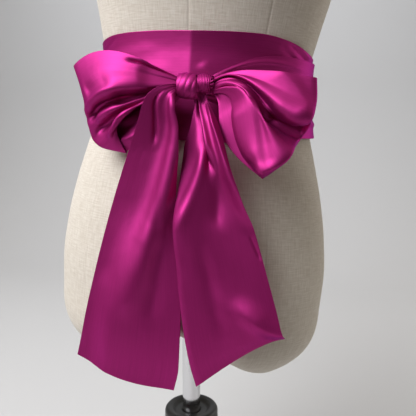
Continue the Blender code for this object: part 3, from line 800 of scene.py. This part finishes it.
# %% Tails
Section = namedtuple("Section", "along xl zl yl xr zr yr fold_at fold")
TAIL_LEFT = (
    Section(0.00, 0.35, -0.35, -12.2, 0.2, -1.0, -12.2, 0.7, 0.0),
    Section(0.06, -1.4, -0.8, -13.4, 0.0, -2.0, -12.9, 0.9, 0.3),
    Section(0.11, -2.8, -2.0, -13.7, 0.1, -3.0, -12.5, 0.98, 0.7),
    Section(0.19, -3.6, -4.4, -13.3, 0.55, -4.9, -12.0, 0.98, 0.9),
    Section(0.29, -4.7, -7.6, -12.6, 0.65, -7.6, -11.8, 0.92, 1.0),
    Section(0.44, -6.2, -13.0, -12.4, 0.7, -13.0, -11.8, 0.78, 1.0),
    Section(0.62, -7.5, -19.0, -12.5, 1.4, -19.0, -12.0, 0.56, 0.7),
    Section(0.78, -8.5, -24.2, -12.5, 2.1, -25.0, -12.1, 0.38, 0.4),
    Section(0.92, -9.4, -29.0, -12.3, 2.2, -31.0, -12.0, 0.30, 0.2),
    Section(1.00, -9.9, -31.5, -12.2, 1.8, -33.9, -11.9, 0.28, 0.1),
)
TAIL_RIGHT = (
    Section(0.00, 1.5, -1.1, -11.7, 2.9, -0.9, -11.7, 0.5, 0.0),
    Section(0.05, 1.8, -2.4, -11.6, 3.2, -1.9, -11.7, 0.45, 0.0),
    Section(0.12, 1.6, -4.3, -11.6, 4.5, -3.8, -12.6, 0.47, 0.5),
    Section(0.20, 1.0, -7.0, -11.6, 5.9, -6.6, -13.0, 0.50, 0.8),
    Section(0.33, 0.9, -11.3, -11.9, 7.9, -11.2, -12.9, 0.30, 0.9),
    Section(0.45, 1.0, -15.5, -12.9, 9.5, -15.2, -12.6, 0.12, 0.4),
    Section(0.60, 1.7, -20.5, -12.9, 11.1, -19.5, -12.6, 0.4, -0.2),
    Section(0.75, 2.5, -25.4, -12.7, 12.3, -22.8, -12.5, 0.6, 0.3),
    Section(0.90, 3.6, -30.2, -12.5, 13.0, -24.8, -12.4, 0.65, 0.3),
    Section(1.00, 4.4, -32.7, -12.3, 13.4, -25.6, -12.3, 0.65, 0.1),
)
FOLD_HALF_WIDTH = 0.22
TAIL_LEFT_FOLDS = (
    Fold(0.03, 1.00, 0.34, 0.98, 0.35, 2.2, 0.8),
    Fold(0.26, 0.98, 0.60, 0.70, 0.35, 2.0, 0.9),
    Fold(0.50, 0.74, 0.82, 0.36, 0.30, 1.8, 1.3),
    Fold(0.42, 0.35, 1.50, 0.30, 0.45, 1.8, 7.0),
    Fold(1.00, -0.2, 1.00, 1.20, -0.50, 1.0, 4.0),
    Fold(0.06, 0.24, 0.27, 0.50, -0.30, 0.7, 0.8),
    Fold(0.40, 0.80, 0.84, 0.66, -0.25, 1.0, 1.2),
    Fold(0.66, 0.10, 0.98, 0.30, 0.12, 1.2, 1.0),
)
TAIL_RIGHT_FOLDS = (
    Fold(0.02, 0.22, 0.27, 0.66, -0.80, 1.2, 0.2, 0.0, 0.2),
    Fold(0.02, 0.30, 0.27, 0.74, 0.12, 0.25, 0.7),
    Fold(0.15, 0.62, 0.47, -0.02, 0.35, 1.0, 0.7),
    Fold(0.04, 0.88, 0.44, 1.04, 0.90, 2.0, 0.7),
    Fold(0.27, 0.50, 0.24, 1.20, 0.35, 1.5, 1.8),
    Fold(0.22, 0.74, 0.44, 0.50, -0.20, 0.9, 0.9),
    Fold(0.66, 0.58, 1.06, 1.18, 0.65, 1.3, 2.0, 0.0, 0.35),
    Fold(1.00, -0.2, 1.00, 1.20, -0.50, 1.0, 4.0),
    Fold(0.20, 0.04, 1.30, 0.10, 0.45, 1.2, 5.5),
    Fold(0.44, 0.92, 0.53, 0.98, -0.12, 0.25, 0.25),
    Fold(0.45, 0.30, 0.85, 0.42, -0.15, 1.0, 1.0),
)
Tail = namedtuple("Tail", "sections hem_sag length area folds")
TAILS = {
    "tail_left": Tail(TAIL_LEFT, -0.9, 34.0, 0.0310, TAIL_LEFT_FOLDS),
    "tail_right": Tail(TAIL_RIGHT, 0.5, 30.0, 0.0260, TAIL_RIGHT_FOLDS),
}


def tail_surface(tail, along, across):
    """Straight across between the two edges, less a soft bump for the long fold, and a sagging hem."""
    edge = {name: through(along, tail.sections, name) for name in Section._fields[1:]}
    x = edge["xl"] + (edge["xr"] - edge["xl"]) * across
    y = edge["yl"] + (edge["yr"] - edge["yl"]) * across
    z = edge["zl"] + (edge["zr"] - edge["zl"]) * across
    y = y - edge["fold"] * bump((across - edge["fold_at"]) / FOLD_HALF_WIDTH)
    z = z + tail.hem_sag * np.sin(np.pi * across) * along**6
    return np.stack([x, y, z], -1)


for name, tail in TAILS.items():
    along, across = spread(190, 0.003), spread(110, 0.008)
    u, v = np.meshgrid(along, across, indexing="ij")
    height = relief(tail.folds, u, v, tail.length)
    height = height + gathers(u * tail.length, v, count=5, height=0.03, reach=1.3, shift=0.5)
    grid = moved_out(tail_surface(tail, u, v), height)
    shell(name + "_cloth", grid, along, across, tail.length, name)

# %% [markdown]
# The knot is the strip wound over itself. Two bands show: a broad one on the left with a few slanting
# pleats, and a narrow one on the right crushed into many fine ones. Their sheets have the size of the bands
# as built, where the real cloth is the full strip crushed together.

# %% Knot
Wrap = namedtuple(
    "Wrap", "left_top left_bottom right_top right_bottom centre_y centre_z deep tall pleats slant width"
)
WRAPS = {
    "knot_wrap_left": Wrap(-0.05, 0.25, 1.78, 2.28, -11.7, -0.62, 1.45, 1.35, 3.0, 0.8, 2.2),
    "knot_wrap_right": Wrap(1.95, 2.42, 3.55, 3.45, -11.65, -0.25, 1.25, 0.98, 8.0, -0.15, 1.5),
}
WRAP_FROM = -120.0
WRAP_TO = 68.0
WRAP_CROWN = 0.18
WRAP_LENGTH = 4.6
PLEAT_DEEP = 0.05


def wrap_surface(wrap, along, across):
    """An ellipse round a short lying barrel along the band, straight across it, crowned by a sine."""
    angle = np.radians(WRAP_FROM + (WRAP_TO - WRAP_FROM) * along)
    left = wrap.left_top + (wrap.left_bottom - wrap.left_top) * along
    right = wrap.right_top + (wrap.right_bottom - wrap.right_top) * along
    crown = WRAP_CROWN * (np.sin(np.pi * across) ** 0.7 - 1)
    pleat = np.abs(np.sin(np.pi * wrap.pleats * (across + wrap.slant * along))) - 0.5
    crown = crown + PLEAT_DEEP * pleat
    x = left + (right - left) * across
    y = wrap.centre_y - (wrap.deep + crown) * np.cos(angle)
    z = wrap.centre_z - (wrap.tall + crown) * np.sin(angle)
    return np.stack([x, y, z], -1)


for name, wrap in WRAPS.items():
    along, across = spread(70, 0.01), spread(90, 0.02)
    u, v = np.meshgrid(along, across, indexing="ij")
    grid = wrap_surface(wrap, u, v)
    shell(name + "_cloth", grid, along, across, WRAP_LENGTH, name)

# %% [markdown]
# The stand's pieces are turned: each is a profile of radius and height swept round the pole's axis. Screw
# modifiers would do it too, but a grid gives the same smooth faces with rounded corners in one function.

# %% Stand
POLE_RADIUS = 1.2
POLE_TOP = 50.0
HUB_TOP = 22.2
HUB_RADIUS = 3.6
HUB_HEIGHT = 4.6
HUB_FOOT = HUB_TOP - HUB_HEIGHT
FOOT_RADIUS = 1.7
BASE_RADIUS = 15.0
BASE_HEIGHT = 1.2
JOINT_GAP = 0.03
AXIS = 0.01  # a profile ends this far from the axis, which leaves a pin hole 0.2 mm wide
SHARP = math.radians(40)
MAP_RADIUS = 0.02  # metres, for the cloth map that every piece carries


def turned(name, profile, steps, material, closed=False):
    """A profile of (radius, height) in centimetres swept round the Z axis: x = r sin(a), y = -r cos(a)."""
    profile = np.array(profile, float)
    turn = np.linspace(0, 2 * np.pi, steps, endpoint=False)
    ring = np.stack([np.sin(turn), -np.cos(turn), np.zeros(steps)], -1)
    grid = profile[:, :1, None] * ring + np.array([0, 0, 1.0]) * profile[:, 1:, None]
    rows = len(profile)
    index = np.arange(rows * steps).reshape(rows, steps)
    index = np.concatenate([index, index[:, :1]], 1)
    if closed:
        index = np.concatenate([index, index[:1]], 0)
    points = grid.reshape(-1, 3) * CM
    faces = quads(index)
    uv = np.stack(np.broadcast_arrays(turn[None, :] * MAP_RADIUS, profile[:, 1:] * CM), -1).reshape(-1, 2)
    piece = new_piece(name + "_turned", points, [faces], uv, material)
    piece.data.set_sharp_from_angle(angle=SHARP)
    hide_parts(name)
    return piece


def rounded(corners, radius, steps=6):
    """A profile's corners rounded off: at each one a parabola from radius before it to radius after it."""
    corners = np.array(corners, float)
    out = [corners[:1]]
    for before, corner, after in zip(corners, corners[1:], corners[2:]):
        reach_in = min(radius, np.linalg.norm(before - corner) / 2)
        reach_out = min(radius, np.linalg.norm(after - corner) / 2)
        start = corner + (before - corner) / np.linalg.norm(before - corner) * reach_in
        stop = corner + (after - corner) / np.linalg.norm(after - corner) * reach_out
        t = np.linspace(0, 1, steps)[:, None]
        out.append(start * (1 - t) ** 2 + corner * 2 * t * (1 - t) + stop * t**2)
    return np.concatenate([*out, corners[-1:]])


bore = POLE_RADIUS + JOINT_GAP
pole_foot = HUB_FOOT + 1.5
turned(
    "stand_pole",
    rounded(
        (
            (AXIS, POLE_TOP),
            (POLE_RADIUS, POLE_TOP),
            (POLE_RADIUS, pole_foot),
            (AXIS, pole_foot),
        ),
        radius=0.1,
    ),
    steps=96,
    material=chrome,
)
turned(
    "stand_hub",
    rounded(
        (
            (bore, HUB_TOP - 0.9),
            (bore, HUB_TOP - 0.5),
            (2.2, HUB_TOP - 0.5),
            (2.5, HUB_TOP - 0.15),
            (HUB_RADIUS - 0.35, HUB_TOP),
            (HUB_RADIUS, HUB_TOP - 0.35),
            (HUB_RADIUS, HUB_TOP - 2.3),
            (HUB_RADIUS - 0.5, HUB_TOP - 2.9),
            (2.4, HUB_FOOT + 0.5),
            (2.2, HUB_FOOT),
            (bore, HUB_FOOT),
            (bore, HUB_FOOT + 0.4),
        ),
        radius=0.25,
    ),
    steps=128,
    material=plastic,
    closed=True,
)
turned(
    "stand_tube",
    rounded(
        (
            (AXIS, HUB_FOOT - JOINT_GAP),
            (FOOT_RADIUS, HUB_FOOT - JOINT_GAP),
            (FOOT_RADIUS, BASE_HEIGHT + JOINT_GAP),
            (AXIS, BASE_HEIGHT + JOINT_GAP),
        ),
        radius=0.08,
    ),
    steps=96,
    material=chrome,
)
turned(
    "stand_base",
    rounded(
        (
            (AXIS, BASE_HEIGHT),
            (BASE_RADIUS - 0.9, BASE_HEIGHT),
            (BASE_RADIUS, BASE_HEIGHT - 0.5),
            (BASE_RADIUS, 0.0),
            (AXIS, 0.0),
        ),
        radius=0.3,
    ),
    steps=160,
    material=chrome,
)

# %% [markdown]
# The room is a plain pale sheet that runs along the floor and sweeps up behind, so no horizon cuts across.
# A big soft window stands in front to the left, well above the waist, and leaves the right side of the form
# in shade. A weak lamp opposite and one on the wall fill in. The room behind the camera is dark, because
# satin mirrors whatever faces it, and its folds need something dark to show.

# %% Floor, sweep and light
FLOOR_HALF = 4.0
FLOOR_FRONT = -0.6
SWEEP_FROM = 1.3
SWEEP_RADIUS = 0.9
WALL_TOP = 3.6
DARK_SIDE = (0.1, -0.9, -0.42)  # from the form towards the camera, and down

turn = np.linspace(0, np.pi / 2, 24)
wall_y = SWEEP_FROM + SWEEP_RADIUS
sweep_y = np.concatenate([[FLOOR_FRONT, 0.0], SWEEP_FROM + SWEEP_RADIUS * np.sin(turn), [wall_y]])
sweep_z = np.concatenate([[0.0, 0.0], SWEEP_RADIUS * (1 - np.cos(turn)), [WALL_TOP]])
floor_points = np.array([(x, y, z) for y, z in zip(sweep_y, sweep_z) for x in (-FLOOR_HALF, FLOOR_HALF)])
floor_mesh = bpy.data.meshes.new("floor")
floor_faces = [(2 * i, 2 * i + 1, 2 * i + 3, 2 * i + 2) for i in range(len(sweep_y) - 1)]
floor_mesh.from_pydata(floor_points.tolist(), [], floor_faces)
floor_mesh.shade_smooth()
paper = new_material("matt paper", Base_Color=linear("#C4C4C3"), Roughness=0.9)[0]
floor_mesh.materials.append(paper)
floor = bpy.data.objects.new("floor", floor_mesh)
bpy.context.scene.collection.objects.link(floor)


def window(name, place, target, width, height, watts, colour):
    """A rectangular area light at a place, facing a target."""
    data = bpy.data.lights.new(name, "AREA")
    data.shape = "RECTANGLE"
    data.size, data.size_y, data.energy = width, height, watts
    data.color = linear(colour)[:3]
    light = bpy.data.objects.new(name, data)
    light.location = place
    light.rotation_euler = (Vector(target) - Vector(place)).to_track_quat("-Z", "Y").to_euler()
    bpy.context.scene.collection.objects.link(light)


window("window", (-1.04, -1.33, 1.96), (0, 0, 0.55), width=1.6, height=1.7, watts=74, colour="#FAFBFF")
window("far side", (1.6, 0.9, 0.8), (0, 0, 0.5), width=1.0, height=1.0, watts=6, colour="#F6F0E8")
window("wall wash", (-0.6, 0.7, 2.4), (0.8, 2.2, 0.6), width=1.4, height=0.8, watts=26, colour="#F4F7FF")

world = bpy.data.worlds.new("room light")
world.use_nodes = True
tree = world.node_tree
towards = add_node(tree, "ShaderNodeTexCoord")
to_the_front = add_node(
    tree,
    "ShaderNodeVectorMath",
    {"operation": "DOT_PRODUCT"},
    _0=towards.outputs["Generated"],
    _1=DARK_SIDE,
)
dim = add_node(tree, "ShaderNodeMapRange", Value=to_the_front.outputs["Value"], From_Min=-0.25, From_Max=0.7)
room = add_node(
    tree,
    "ShaderNodeMix",
    {"data_type": "RGBA"},
    _0=dim.outputs[0],
    _6=linear("#E4DACE"),
    _7=linear("#443E3A"),
)
tree.links.new(room.outputs[2], tree.nodes["Background"].inputs["Color"])
tree.nodes["Background"].inputs["Strength"].default_value = 0.56
bpy.context.scene.world = world
bpy.context.scene.view_settings.view_transform = "Standard"
